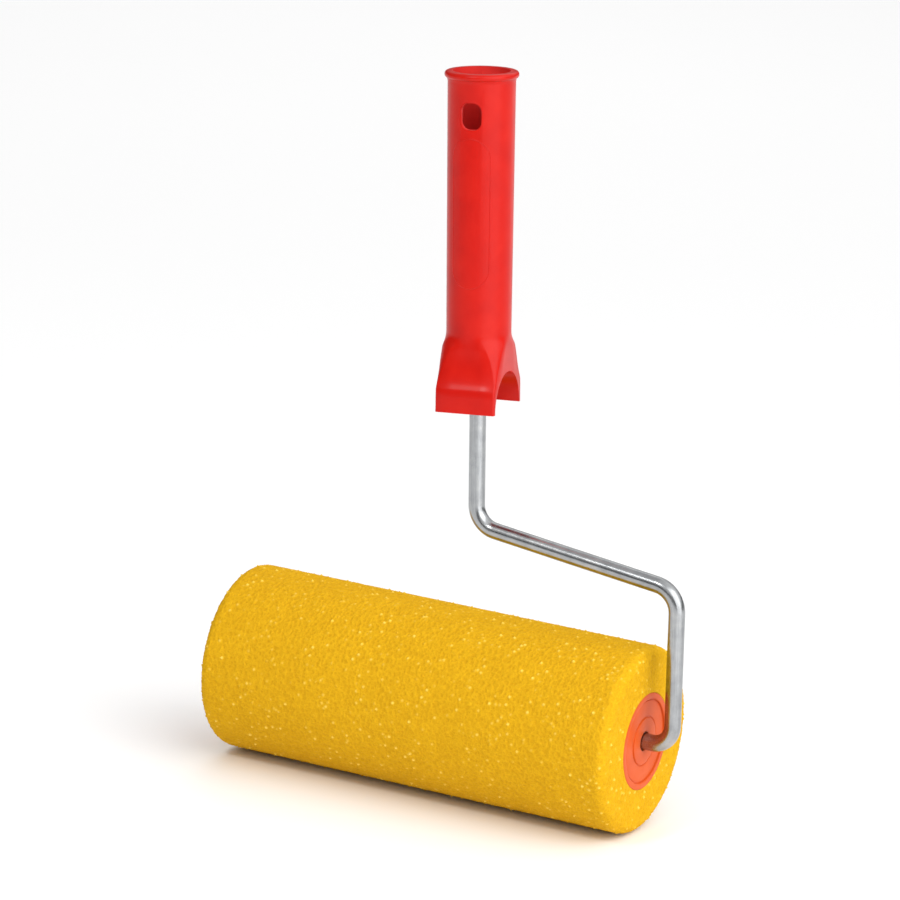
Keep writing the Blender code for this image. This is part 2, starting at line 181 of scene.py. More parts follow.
HANG_HOLE_Z = 0.1150
HANG_HOLE_REACH = 0.02
PANEL_LOW = 0.0483
PANEL_HIGH = 0.1064
PANEL_HALF_WIDTH = 0.0078
PANEL_LINE = 0.0003
PANEL_TUBE_END = 0.0054


# Mesh helpers -----------------------------------------------------------------------------------

def new_object(name, data):
    """Link a mesh, a light or a camera as an object at the origin."""
    made = bpy.data.objects.new(name, data)
    bpy.context.scene.collection.objects.link(made)
    return made


def mesh_of(name, points, corners, starts):
    """A mesh from an (n, 3) array of points, the corner numbers of its faces, and where each face starts."""
    mesh = bpy.data.meshes.new(name)
    mesh.vertices.add(len(points))
    mesh.vertices.foreach_set("co", np.ascontiguousarray(points, dtype=np.float32).ravel())
    mesh.loops.add(len(corners))
    mesh.loops.foreach_set("vertex_index", corners.astype(np.int32))
    mesh.polygons.add(len(starts))
    mesh.polygons.foreach_set("loop_start", starts.astype(np.int32))
    mesh.update(calc_edges=True)
    return mesh


def quad_mesh(name, points, faces):
    """A mesh from an (n, 3) array of points and an (m, 4) array of corner numbers."""
    return mesh_of(name, points, faces.ravel(), np.arange(0, faces.size, 4))


def closed_tube(name, rings):
    """A tube through an array of rings, shape (rows, columns, 3), with a flat face on its first and last."""
    rows, columns = rings.shape[:2]
    quads = grid_faces(rows, columns, False, True)
    ends = np.concatenate([np.arange(columns), np.arange(columns) + (rows - 1) * columns])
    starts = np.concatenate([np.arange(0, quads.size, 4), quads.size + np.array((0, columns))])
    mesh = mesh_of(name, rings.reshape(-1, 3), np.concatenate([quads.ravel(), ends]), starts)
    face_outwards(mesh)
    return mesh


def grid_faces(rows, columns, wrap_rows, wrap_columns):
    """Corner numbers of the quads of a rows by columns grid, with either direction closed on itself."""
    row = np.arange(rows if wrap_rows else rows - 1)[:, None]
    column = np.arange(columns if wrap_columns else columns - 1)[None, :]
    next_row = (row + 1) % rows
    next_column = (column + 1) % columns
    corners = (row * columns + column, row * columns + next_column,
               next_row * columns + next_column, next_row * columns + column)
    return np.stack([np.broadcast_to(c, (row.size, column.size)).ravel() for c in corners], axis=1)


def face_outwards(mesh, merge=0.0):
    """Merge doubles where asked, and turn every face outwards."""
    shape = bmesh.new()
    shape.from_mesh(mesh)
    if merge:
        bmesh.ops.remove_doubles(shape, verts=shape.verts, dist=merge)
    bmesh.ops.recalc_face_normals(shape, faces=shape.faces)
    shape.to_mesh(mesh)
    shape.free()


def point_places(mesh):
    """The mesh's points as an (n, 3) array."""
    places = np.empty(len(mesh.vertices) * 3, dtype=np.float32)
    mesh.vertices.foreach_get("co", places)
    return places.reshape(-1, 3)


def point_values(mesh, name, values):
    """Store one number for each point, for a material to read."""
    layer = mesh.attributes.new(name, "FLOAT", "POINT")
    layer.data.foreach_set("value", values.astype(np.float32))


def circle_angles(steps):
    """Evenly spaced angles once round, without the last one, which would double the first."""
    return np.linspace(0, 2 * math.pi, steps, endpoint=False)


def smooth(mesh, angle=35.0):
    """Shade smooth, with edges sharper than the angle left crisp."""
    mesh.shade_smooth()
    mesh.set_sharp_from_angle(angle=math.radians(angle))


def arc(centre, radius, start, end, count):
    """Points (r, z) on an arc about a centre: radius times the cosine and sine of evenly spaced angles."""
    angle = np.radians(np.linspace(start, end, count))
    return np.stack([centre[0] + radius * np.cos(angle), centre[1] + radius * np.sin(angle)], axis=1)


def along_roller(radius, height, angle):
    """Points at a radius and an angle about the axle, height metres from the roller's centre along +X."""
    return np.stack([ROLLER_CENTRE[0] + height + 0 * angle,
                     ROLLER_CENTRE[1] + radius * np.cos(angle),
                     ROLLER_CENTRE[2] + radius * np.sin(angle)], axis=-1)


def turned(name, profile, steps, finish, side=1):
    """A closed (r, h) profile carried round the axle: each point (r, h) becomes a circle of radius r at h,
    or at -h where side is -1."""
    points = along_roller(profile[:, :1], side * profile[:, 1:], circle_angles(steps)[None, :])
    mesh = quad_mesh(name, points.reshape(-1, 3), grid_faces(len(profile), steps, True, True))
    face_outwards(mesh)
    smooth(mesh)
    mesh.materials.append(finish)
    return new_object(name, mesh)


def eased(profile, radius, count=4):
    """Round every corner of a closed profile. The curve's points are the weighted means of the place where
    it leaves one side, the corner, and the place where it meets the next side."""
    profile = np.asarray(profile, dtype=float)
    before = np.roll(profile, 1, axis=0)
    after = np.roll(profile, -1, axis=0)
    rounded = []
    for here, back, onward in zip(profile, before, after):
        to_back = back - here
        to_onward = onward - here
        reach = min(radius, 0.45 * np.linalg.norm(to_back), 0.45 * np.linalg.norm(to_onward))
        first = here + to_back / np.linalg.norm(to_back) * reach
        last = here + to_onward / np.linalg.norm(to_onward) * reach
        share = np.linspace(0, 1, count)[:, None]
        rounded.append((1 - share) ** 2 * first + 2 * share * (1 - share) * here + share ** 2 * last)
    return np.concatenate(rounded)


# Material helpers -------------------------------------------------------------------------------

def new_material(name, colour, roughness, metallic=0.0):
    """A node material with its Principled shader's plain values set."""
    made = bpy.data.materials.new(name)
    made.use_nodes = True
    shader = made.node_tree.nodes["Principled BSDF"]
    shader.inputs["Base Color"].default_value = (*colour, 1.0)
    shader.inputs["Roughness"].default_value = roughness
    shader.inputs["Metallic"].default_value = metallic
    return made, made.node_tree, shader


def node(tree, kind, **inputs):
    """Add a shader node and set its inputs by name; an underscore stands for a space."""
    made = tree.nodes.new(kind)
    for key, value in inputs.items():
        made.inputs[key.replace("_", " ")].default_value = value
    return made


def noise(tree, place, scale, detail=3.0, roughness=0.5):
    """A noise texture's value, with scale in repeats per unit of the place that it is given."""
    made = node(tree, "ShaderNodeTexNoise", Scale=scale, Detail=detail, Roughness=roughness)
    tree.links.new(place, made.inputs["Vector"])
    return made.outputs["Fac"]


def ramp(tree, source, stops):
    """The colour of a ramp of (position, colour) stops, fed by a value."""
    made = tree.nodes.new("ShaderNodeValToRGB")
    band = made.color_ramp
    while len(band.elements) < len(stops):
        band.elements.new(0.5)
    for element, (position, colour) in zip(band.elements, stops):
        element.position = position
        element.color = (*colour, 1.0)
    tree.links.new(source, made.inputs["Fac"])
    return made.outputs["Color"]


def remap(tree, source, low, high):
    """Map a 0 to 1 value to a range."""
    made = node(tree, "ShaderNodeMapRange", To_Min=low, To_Max=high)
    tree.links.new(source, made.inputs["Value"])
    return made.outputs["Result"]


def bump(tree, shader, height, strength, distance):
    """Drive the shader's normal from a height."""
    made = node(tree, "ShaderNodeBump", Strength=strength, Distance=distance)
    tree.links.new(height, made.inputs["Height"])
    tree.links.new(made.outputs["Normal"], shader.inputs["Normal"])


def colour_mix(tree, blend):
    """A Mix node set to colours, with its two colour inputs and its colour output, which are taken by number
    because the node has other sockets of the same names."""
    made = tree.nodes.new("ShaderNodeMix")
    made.data_type = "RGBA"
    made.blend_type = blend
    return made, made.inputs[6], made.inputs[7], made.outputs[2]


def multiplied(tree, first, second):
    """One colour multiplied by another."""
    made, one, other, result = colour_mix(tree, "MULTIPLY")
    made.inputs["Factor"].default_value = 1.0
    tree.links.new(first, one)
    tree.links.new(second, other)
    return result


def blended(tree, share, first, colour):
    """A colour that gives way to a plain one by a share from 0 to 1."""
    made, one, other, result = colour_mix(tree, "MIX")
    tree.links.new(share, made.inputs["Factor"])
    tree.links.new(first, one)
    other.default_value = (*colour, 1.0)
    return result


def object_place(tree):
    """Object coordinates, in metres."""
    return tree.nodes.new("ShaderNodeTexCoord").outputs["Object"]


def stored(tree, name, output="Fac"):
    """What the mesh stores for each point under a name."""
    made = tree.nodes.new("ShaderNodeAttribute")
    made.attribute_name = name
    return made.outputs[output]


def stretched(tree, place, scale):
    """A place scaled on each axis, so that a pattern on it is drawn out along the axis with the least."""
    made = node(tree, "ShaderNodeMapping", Scale=scale)
    tree.links.new(place, made.inputs["Vector"])
    return made.outputs["Vector"]


def moulded_plastic(name, shades, roughness):
    """Moulded plastic: colour that drifts slowly through three shades, and roughness that varies a little."""
    dark, mid, light = shades
    made, tree, shader = new_material(name, mid, roughness)
    place = object_place(tree)
    drift = noise(tree, place, scale=90.0, detail=4.0)
    colours = ramp(tree, drift, [(0.30, dark), (0.52, mid), (0.75, light)])
    tree.links.new(colours, shader.inputs["Base Color"])
    worn = noise(tree, place, scale=420.0, detail=5.0, roughness=0.6)
    tree.links.new(remap(tree, worn, roughness - 0.04, roughness + 0.06), shader.inputs["Roughness"])
    shader.inputs["Specular IOR Level"].default_value = 0.2
    return made


def light_through(material, lit):
    """Brighten the inside of a thin moulding, as light through its wall does, by the share its mesh stores."""
    tree = material.node_tree
    colour = tree.nodes["Principled BSDF"].inputs["Base Color"]
    tree.links.new(blended(tree, stored(tree, "inside"), colour.links[0].from_socket, lit), colour)


def zinc_plated_steel():
    """Bright zinc on drawn wire: clouded tone, fine pits, and faint streaks that follow the wire."""
    made, tree, shader = new_material("zinc_plated_steel", ZINC_BODY, 0.24, metallic=1.0)
    place = object_place(tree)
    cloud = noise(tree, place, scale=160.0, detail=5.0, roughness=0.65)
    tones = ramp(tree, cloud, [(0.25, ZINC_DARK), (0.55, ZINC_BODY), (0.8, ZINC_LIGHT)])
    wire_place = stretched(tree, stored(tree, "grain", "Vector"), (45.0, 7.0, 7.0))
    streak = noise(tree, wire_place, scale=1.0, detail=3.0, roughness=0.6)
    lines = ramp(tree, streak, [(0.35, (0.80, 0.80, 0.80)), (0.65, PLAIN_WHITE)])
    tree.links.new(multiplied(tree, tones, lines), shader.inputs["Base Color"])
    pits = noise(tree, place, scale=900.0, detail=4.0, roughness=0.7)
    tree.links.new(remap(tree, pits, 0.14, 0.34), shader.inputs["Roughness"])
    bump(tree, shader, streak, strength=0.2, distance=0.00005)
    return made


def washer_steel():
    """Plain steel for the washers: a fine grain of tone, drawn out along the axle."""
    made, tree, shader = new_material("washer_steel", (0.5, 0.5, 0.5), 0.3, metallic=1.0)
    grain_place = stretched(tree, object_place(tree), (200.0, 1500.0, 1500.0))
    grain = noise(tree, grain_place, scale=1.0)
    tones = ramp(tree, grain, [(0.3, (0.40, 0.40, 0.41)), (0.7, (0.60, 0.60, 0.60))])
    tree.links.new(tones, shader.inputs["Base Color"])
    tree.links.new(remap(tree, grain, 0.25, 0.45), shader.inputs["Roughness"])
    return made


def open_cell_foam():
    """Foam: painted shade makes it a deeper gold down in the cells, painted light makes it lighter on the
    struts, and a painted highlight makes it pale where a stub's end would catch the light. A fine net of
    threads and a slow drift vary it, and each cell has a tone of its own."""
    made, tree, shader = new_material("open_cell_foam", FOAM_BODY, 0.75)
    shader.inputs["Specular IOR Level"].default_value = 0.06
    place = object_place(tree)
    threads = node(tree, "ShaderNodeTexVoronoi", Scale=1100.0)
    threads.feature = "DISTANCE_TO_EDGE"
    tree.links.new(place, threads.inputs["Vector"])
    from_thread = threads.outputs["Distance"]
    # Painted shade in the cells and painted light on the struts, by how near each point is to a strut
    colour = ramp(tree, stored(tree, "strut"), [(0.0, FOAM_PIT_PAINTED_SHADE), (0.5, FOAM_BODY), (1.0, FOAM_STRUT_PAINTED_LIGHT)])
    for source, stops in (
            (from_thread, [(0.0, PLAIN_WHITE), (0.25, (0.95, 0.93, 0.88)), (1.0, (0.9, 0.87, 0.8))]),
            (noise(tree, place, scale=45.0), [(0.3, (0.95, 0.94, 0.92)), (0.7, PLAIN_WHITE)]),
            (stored(tree, "cell_tone"), [(0.0, (0.93, 0.91, 0.85)), (1.0, PLAIN_WHITE)])):
        colour = multiplied(tree, colour, ramp(tree, source, stops))
    # The glint is a painted highlight, with a smoother surface under it
    glint = stored(tree, "glint")
    tree.links.new(blended(tree, glint, colour, FOAM_PAINTED_GLINT), shader.inputs["Base Color"])
    tree.links.new(remap(tree, glint, 0.75, 0.3), shader.inputs["Roughness"])
    bump(tree, shader, from_thread, strength=0.8, distance=-0.0003)
    return made


RED = moulded_plastic("red_moulding", RED_SHADES, 0.29)
light_through(RED, RED_LIT_THROUGH)
ORANGE = moulded_plastic("orange_moulding", ORANGE_SHADES, 0.42)
WHITE = moulded_plastic("white_nylon", WHITE_SHADES, 0.45)
GREY = moulded_plastic("grey_tube", GREY_SHADES, 0.55)
ZINC = zinc_plated_steel()
STEEL = washer_steel()
FOAM = open_cell_foam()


# Foam cover -------------------------------------------------------------------------------------

def scatter(cell, seed):
    """A repeatable number from 0 to 1 for each whole-number cell: its three numbers are multiplied by large
    odd ones, put together bit by bit, and stirred twice more. The last 24 bits are the number."""
    stirred = cell[..., 0] * 73856093 ^ cell[..., 1] * 19349663 ^ cell[..., 2] * 83492791
    stirred = (stirred + seed * 2654435761) & 0xFFFFFFFF
    stirred = ((stirred ^ (stirred >> 15)) * 2246822519) & 0xFFFFFFFF
    stirred = ((stirred ^ (stirred >> 13)) * 3266489917) & 0xFFFFFFFF
    return ((stirred ^ (stirred >> 16)) & 0xFFFFFF) / float(0x1000000)


def foam_cells(points, size):
    """Distances, in cells, from each point to its three nearest cell centres, and the nearest one's number.
    The centres are one to each cube of a lattice, each pushed off the middle at random."""
    out_of_reach = 9.0
    place = points / size
    home = np.floor(place).astype(np.int64)
    nearest = np.full((3, len(points)), out_of_reach)
    number = np.zeros(len(points))
    for step in np.ndindex(3, 3, 3):
        cell = home + (np.array(step) - 1)
        centre = cell + 0.5
        for axis in range(3):
            centre[:, axis] += CELL_SCATTER * (scatter(cell, axis + 1) - 0.5)
        away = np.linalg.norm(place - centre, axis=1)
        closer = away < nearest[0]
        number = np.where(closer, scatter(cell, 7), number)
        nearest = np.sort(np.concatenate([nearest, away[None]]), axis=0)[:3]
    return nearest, number


def foam_profile():
    """The cover's outline (r, h): seat, end face, rounded edge, side, and the same again mirrored."""
    seat = CAP_RADIUS + FOAM_ON_CAP
    floor = ROLLER_HALF - CAP_FLANGE - GAP
    flat = ROLLER_HALF
    edge_centre = (FOAM_RADIUS - FOAM_EDGE, flat - FOAM_EDGE)
    face_count = int((FOAM_RADIUS - FOAM_EDGE - seat) / FOAM_STEP)
    edge_count = int(FOAM_EDGE * math.pi / 2 / FOAM_STEP)
    side_count = int(2 * (flat - FOAM_EDGE) / FOAM_STEP)
    bore = np.array([[CORE_RADIUS + GAP, floor - FOAM_BORE_DEPTH], [CORE_RADIUS + GAP, floor]])
    wall = np.linspace([seat, floor], [seat, flat], 5)
    face = np.linspace([seat, flat], [edge_centre[0], flat], face_count)[1:]
    edge = arc(edge_centre, FOAM_EDGE, 90, 0, edge_count)[1:]
    half = np.concatenate([bore, wall, face, edge])
    side = np.linspace([FOAM_RADIUS, edge_centre[1]], [FOAM_RADIUS, -edge_centre[1]], side_count)[1:-1]
    return np.concatenate([half, side, (half * (1, -1))[::-1]])


def foam_cover():
    """The outline carried round the axle, then moved along its normal by the cells that it cuts through:
    up where a point is as near to two or three cell centres (a strut), down inside a cell, and up again by
    a rounded stub at the centre of about half of the cells. The bore and the seats stay plain."""
    profile = foam_profile()
    steps = int(2 * math.pi * FOAM_RADIUS / FOAM_STEP)
    angle = circle_angles(steps)[None, :]
    points = along_roller(profile[:, :1], profile[:, 1:], angle)
    tangent = np.roll(profile, -1, axis=0) - np.roll(profile, 1, axis=0)
    tangent /= np.linalg.norm(tangent, axis=1, keepdims=True)
    out_r = -tangent[:, 1:]
    out_h = tangent[:, :1]
    normal = np.stack([out_h + 0 * angle, out_r * np.cos(angle), out_r * np.sin(angle)], axis=-1)
    shown = (profile[:, 0] > CAP_RADIUS + FOAM_PLAIN_RIM).astype(float)
    shown = np.convolve(shown, np.ones(3) / 3, mode="same")[:, None] * np.ones_like(angle)
    flat_points = points.reshape(-1, 3)
    (first, second, third), number = foam_cells(flat_points, CELL)
    wall = np.exp(-((second - first) / WALL_WIDTH) ** 1.5)
    joint = np.exp(-((third - first) / JOINT_WIDTH) ** 1.5)
    strut = np.clip(0.65 * wall + 0.55 * joint, 0, 1)
    # A painted highlight at the middle of some cells, pale where a stub's end would catch the light
    glint = np.clip(1.3 - first / GLINT_WIDTH, 0, 1) * np.clip((number - GLINT_FROM) / 0.15, 0, 1)
    stub = np.clip(1.25 - first / STUB_WIDTH, 0, 1) * np.clip((number - STUB_FROM) / 0.5, 0, 1)
    lift = (0.6 * strut - 0.65) * CELL_DEPTH + STUB_HEIGHT * stub
    moved = flat_points + normal.reshape(-1, 3) * (lift * shown.ravel())[:, None]
    mesh = quad_mesh("foam_sleeve", moved, grid_faces(len(profile), steps, True, True))
    for name, values in (("strut", strut), ("glint", glint), ("cell_tone", number)):
        point_values(mesh, name, values)
    mesh.shade_smooth()
    mesh.materials.append(FOAM)
    return new_object("foam_sleeve", mesh)


# End caps ---------------------------------------------------------------------------------------

def end_cap(name, side):
    """The cap's outline, with small radii at its corners, carried round the axle, and four ribs between its
    plug and its hub, each a block turned about the axle."""
    face = ROLLER_HALF
    under = face - CAP_FLANGE
    recess = face - CAP_RECESS
    boss = face - CAP_BOSS_DROP
    plug = CORE_RADIUS - CORE_WALL - GAP
    inside = plug - CAP_WALL
    hub_end = under - CAP_HUB_LENGTH
    groove = recess - CAP_GROOVE_DEPTH
    boss_side = CAP_BOSS + CAP_GROOVE
    rim_side = CAP_RIM - CAP_GROOVE
    profile = [
        (CAP_BOSS, boss), (CAP_BOSS, groove), (boss_side, groove), (boss_side, recess),
        (rim_side, recess), (rim_side, groove), (CAP_RIM, groove), (CAP_RIM, face),
        (CAP_RADIUS, face), (CAP_RADIUS, under), (plug, under), (plug, under - CAP_PLUG),
        (inside, under - CAP_PLUG), (inside, under), (CAP_HUB, under), (CAP_HUB, hub_end),
        (BUSH_RADIUS + GAP, hub_end), (BUSH_RADIUS + GAP, under), (CAP_HOLE, under), (CAP_HOLE, boss),
    ]
    made = turned(name, eased(profile, radius=0.00035), ROUND_STEPS, ORANGE, side)
    rib_length = inside - CAP_HUB + CAP_RIB_LAP
    rib_depth = CAP_PLUG - CAP_RIB_STEP
    shape = bmesh.new()
    shape.from_mesh(made.data)
    for quarter in range(4):
        rib = bmesh.ops.create_cube(shape, size=1.0)["verts"]
        middle = Vector((side * (under - rib_depth / 2), (inside + CAP_HUB) / 2, 0.0))
        turn = Matrix.Rotation(math.radians(90 * quarter + 45), 4, "X")
        move = Matrix.Translation(Vector(ROLLER_CENTRE)) @ turn @ Matrix.Translation(middle)
        bmesh.ops.scale(shape, vec=(rib_depth + CAP_RIB_SINK, rib_length, CAP_RIB), verts=rib)
        bmesh.ops.transform(shape, matrix=move, verts=rib)
    shape.to_mesh(made.data)
    shape.free()
    return made


def core_tube():
    """A plain tube with eased ends."""
    end = ROLLER_HALF - CAP_FLANGE - GAP
    inner = CORE_RADIUS - CORE_WALL
    profile = [(CORE_RADIUS, end), (CORE_RADIUS, -end), (inner, -end), (inner, end)]
    return turned("inner_tube", eased(profile, radius=0.0004), ROUND_STEPS, GREY)


def bush(name, side):
    """A sleeve with a flange at its inner end, with eased corners."""
    bore = WIRE_RADIUS + GAP
    outer = ROLLER_HALF - CAP_FLANGE - GAP
    flange = ROLLER_HALF - CAP_FLANGE - CAP_HUB_LENGTH - GAP
    profile = [(BUSH_RADIUS, outer), (BUSH_RADIUS, flange), (BUSH_FLANGE_RADIUS, flange),
               (BUSH_FLANGE_RADIUS, flange - BUSH_FLANGE), (bore, flange - BUSH_FLANGE), (bore, outer)]
    return turned(name, eased(profile, radius=0.0003), SMALL_ROUND_STEPS, WHITE, side)


def washer(name, side):
    """A flat ring with eased corners, just inside the bush's flange."""
    bore = WIRE_RADIUS + GAP
    outer = ROLLER_HALF - CAP_FLANGE - CAP_HUB_LENGTH - 2 * GAP - BUSH_FLANGE
    inner = outer - WASHER_THICKNESS
    profile = [(WASHER_RADIUS, outer), (WASHER_RADIUS, inner), (bore, inner), (bore, outer)]
    return turned(name, eased(profile, radius=0.00012), SMALL_ROUND_STEPS, STEEL, side)


# Wire frame -------------------------------------------------------------------------------------

def bent_line(corners, radii, step):
    """A centre line through the corners, each rounded by an arc of its radius, and evenly spaced points along
    it, with their distances from its start. A point of an arc is the sum of the arc's two end points, as seen
    from its centre, each times the sine of the turn that is left to the other, over the sine of the whole."""
    runs = [corners[0][None]]
    for before, corner, after, radius in zip(corners, corners[1:], corners[2:], radii):
        back = (before - corner) / np.linalg.norm(before - corner)
        onward = (after - corner) / np.linalg.norm(after - corner)
        half = math.acos(np.dot(back, onward)) / 2
        middle = (back + onward) / np.linalg.norm(back + onward)
        centre = corner + middle * radius / math.sin(half)
        first = corner + back * radius / math.tan(half) - centre
        last = corner + onward * radius / math.tan(half) - centre
        turn = math.pi - 2 * half
        share = np.linspace(0, 1, 80)[:, None]
        from_centre = first * np.sin((1 - share) * turn) + last * np.sin(share * turn)
        runs.append(centre + from_centre / math.sin(turn))
    runs.append(corners[-1][None])
    line = np.concatenate(runs)
    length = np.concatenate([[0], np.cumsum(np.linalg.norm(np.diff(line, axis=0), axis=1))])
    even = np.linspace(0, length[-1], int(length[-1] / step))
    return np.stack([np.interp(even, length, line[:, axis]) for axis in range(3)], axis=1), even


def wire_tube():
    """A circle carried along the bent line, in the plane across it. It is drawn in at both ends, and at each
    crimp it is pinched to a flatter and wider oval by a flat-topped bell curve along the axle."""
    seat = CROSSBAR_START + HANDLE_UP * (NECK_LENGTH + WIRE_SEAT)
    free_end = np.array((WIRE_END_INSIDE_CAP - ROLLER_HALF, 0.0, 0.0))
    corners = [seat, CROSSBAR_START, LEG_TOP, AXLE_CORNER, free_end]
    line, length = bent_line(corners, BENDS, WIRE_STEP)
    ahead = np.gradient(line, axis=0)
    ahead /= np.linalg.norm(ahead, axis=1, keepdims=True)
    across = np.array((0.0, 1.0, 0.0))
    aside = np.cross(ahead, across)
    on_axle = np.abs(line[:, 2]) < 0.0001
    pinch = on_axle * np.exp(-((np.abs(line[:, 0]) - CRIMP_PLACE) / (CRIMP_LENGTH / 2)) ** 6)
    end = np.minimum(length, length[-1] - length)
    size = WIRE_RADIUS * (1 - WIRE_END_NARROWING * np.clip(1 - end / WIRE_END, 0, 1) ** 2)
    wide = size * (1 + (CRIMP_WIDTH / WIRE_RADIUS / 2 - 1) * pinch)
    thin = size * (1 - CRIMP_THINNING * pinch)
    around = circle_angles(WIRE_SIDES)[None, :, None]
    points = (ROLLER_CENTRE + line[:, None] + across * np.cos(around) * thin[:, None, None]
              + aside[:, None] * np.sin(around) * wide[:, None, None])
    mesh = closed_tube("bent_wire", points)
    grain = np.broadcast_to(length[:, None, None], points.shape[:2] + (1,))
    turn = np.broadcast_to(np.concatenate([np.cos(around), np.sin(around)], axis=2), points.shape[:2] + (2,))
    layer = mesh.attributes.new("grain", "FLOAT_VECTOR", "POINT")
    layer.data.foreach_set("vector", np.concatenate([grain, turn], axis=2).astype(np.float32).ravel())
    smooth(mesh)
    mesh.materials.append(ZINC)
    return new_object("bent_wire", mesh)


# Handle -----------------------------------------------------------------------------------------

def skirt_depth(z):
    """Half-depth of the skirt at heights z: a power curve from the tube to the bend, then a line that is
    almost upright, averaged over a little height so that the bend is round, plus a small bell-shaped swell."""
    reach = np.minimum(BEND_BLUR, z)[:, None] * np.linspace(-1, 1, 15)
    level = np.minimum(z[:, None] + reach, SKIRT_HEIGHT)
    flare = np.clip((SKIRT_HEIGHT - level) / (SKIRT_HEIGHT - SKIRT_BEND), 0, 1)
    deep = TUBE_BOTTOM_RADIUS + (SKIRT_BEND_DEPTH - TUBE_BOTTOM_RADIUS) * flare ** SKIRT_FLARE
    deep += (SKIRT_HALF_DEPTH - SKIRT_BEND_DEPTH) * np.clip(1 - level / SKIRT_BEND, 0, 1)
    return deep.mean(axis=1) + BEND_SWELL * np.exp(-((z - SKIRT_BEND) / BEND_SWELL_REACH) ** 2)


def skirt_quadrant(z):
    """A quarter of the skirt's section at heights z: half a flat front, a corner whose points lie between an
    ellipse's and a chamfer's, and half a flat side. The share of each side that is flat grows down the skirt,
    from a fifth to nearly all of it, by a power curve."""
    drop = (SKIRT_HEIGHT - z) / SKIRT_HEIGHT
    wide = TUBE_BOTTOM_RADIUS + (SKIRT_HALF_WIDTH - TUBE_BOTTOM_RADIUS) * np.minimum(1, 2 * drop)
    deep = skirt_depth(z)
    easing = SKIRT_HEIGHT + SKIRT_LEAST_CORNER - SKIRT_SQUARE_BELOW
    up = np.clip((z - SKIRT_SQUARE_BELOW) / easing, 0, 1)
    square = np.maximum(0.2, (1 - up ** 1.7) ** 0.6)
    chamfer = SKIRT_CHAMFER * np.minimum(1, 5 * drop)[:, None]
    front = wide * np.minimum(square, 1 - SKIRT_LEAST_CORNER / wide)
    side = deep * np.minimum(square, 1 - SKIRT_LEAST_CORNER / deep)
    share = np.linspace(0, 1, 13)[None, :]
    turn = share * math.pi / 2
    across = (1 - chamfer) * np.sin(turn) + chamfer * share
    along = (1 - chamfer) * np.cos(turn) + chamfer * (1 - share)
    x = front[:, None] + (wide - front)[:, None] * across
    y = side[:, None] + (deep - side)[:, None] * along
    zero = np.zeros((len(z), 1))
    x = np.concatenate([zero, front[:, None] / 2, x, wide[:, None]], axis=1)
    y = np.concatenate([deep[:, None], deep[:, None], y, side[:, None] / 2], axis=1)
    return np.stack([x, y], axis=2)


def full_rings(quadrant, z):
    """Mirror quarter sections into whole rings at heights z."""
    side_point = quadrant[:, -1:, :] * (1, 0)
    right = np.concatenate([quadrant, side_point], axis=1)
    lower = right[:, ::-1, :] * (1, -1)
    half = np.concatenate([right, lower[:, 1:]], axis=1)
    other = half[:, ::-1, :] * (-1, 1)
    ring = np.concatenate([half, other[:, 1:-1]], axis=1)
    height = np.broadcast_to(z[:, None, None], ring.shape[:2] + (1,))
    return np.concatenate([ring, height], axis=2)


def handle_outside():
    """Rings of the skirt, each easing from its own section to a circle over the top few millimetres, then
    circles up the tapered tube and over the rolled rim."""
    fine_from = 0.009
    low = np.concatenate([np.linspace(0, fine_from, 4), np.linspace(fine_from, SKIRT_HEIGHT, 34)[1:]])
    square = skirt_quadrant(low)
    angle = np.arctan2(square[..., 0], square[..., 1])
    round_section = TUBE_BOTTOM_RADIUS * np.stack([np.sin(angle), np.cos(angle)], axis=2)
    share = np.clip((SKIRT_HEIGHT - low) / SKIRT_MERGE, 0, 1)[:, None, None]
    share = share * share * (3 - 2 * share)
    rings = full_rings(round_section + (square - round_section) * share, low)
    tube = [(TUBE_BOTTOM_RADIUS, SKIRT_HEIGHT + 0.0012), (TUBE_TOP_RADIUS, HANDLE_LENGTH - TUBE_END),
            (TUBE_TOP_RADIUS + 0.0001, HANDLE_LENGTH - BEAD_NECK)]
    bead = arc((RIM_RADIUS - BEAD, HANDLE_LENGTH - BEAD), BEAD, -68, 90, 14)
    outline = np.concatenate([tube, bead])
    quadrant = skirt_quadrant(np.array([SKIRT_HEIGHT]))[0]
    angle = np.arctan2(quadrant[:, 0], quadrant[:, 1])
    circle = np.stack([np.sin(angle), np.cos(angle)], axis=1)
    return np.concatenate([rings, full_rings(outline[:, :1, None] * circle[None], outline[:, 1])])


def put_on_wire(mesh):
    """Stand a mesh made in the handle's own frame in its place: twist, lean, then move."""
    lean = Vector((0, 0, 1)).rotation_difference(Vector(HANDLE_UP)).to_matrix().to_4x4()
    base = Vector(HANDLE_TOP - HANDLE_UP * HANDLE_LENGTH)
    mesh.transform(Matrix.Translation(base) @ lean @ Matrix.Rotation(HANDLE_TWIST, 4, "Z"))


def lathe_solid(profile, steps=96):
    """A closed solid of an open (r, z) profile that starts and ends on Z: each point becomes a circle of
    radius r at height z."""
    profile = np.asarray(profile)
    angle = circle_angles(steps)[None, :]
    points = np.stack([profile[:, :1] * np.cos(angle), profile[:, :1] * np.sin(angle),
                       profile[:, 1:] + 0 * angle], axis=-1)
    mesh = quad_mesh("cutter", points.reshape(-1, 3), grid_faces(len(profile), steps, False, True))
    face_outwards(mesh, merge=0.000002)
    return mesh


def hang_hole_outline():
    """The hanging hole in XZ about its middle: an upright rectangle with a quarter circle at each corner."""
    turn = np.linspace(0, math.pi / 2, 10)
    x = HANG_HOLE_WIDTH / 2 - HANG_HOLE_CORNER + HANG_HOLE_CORNER * np.cos(turn)
    z = HANG_HOLE_HEIGHT / 2 - HANG_HOLE_CORNER + HANG_HOLE_CORNER * np.sin(turn)
    return np.concatenate([x, -x[::-1], -x, x[::-1]]), np.concatenate([z, z[::-1], -z, -z[::-1]])


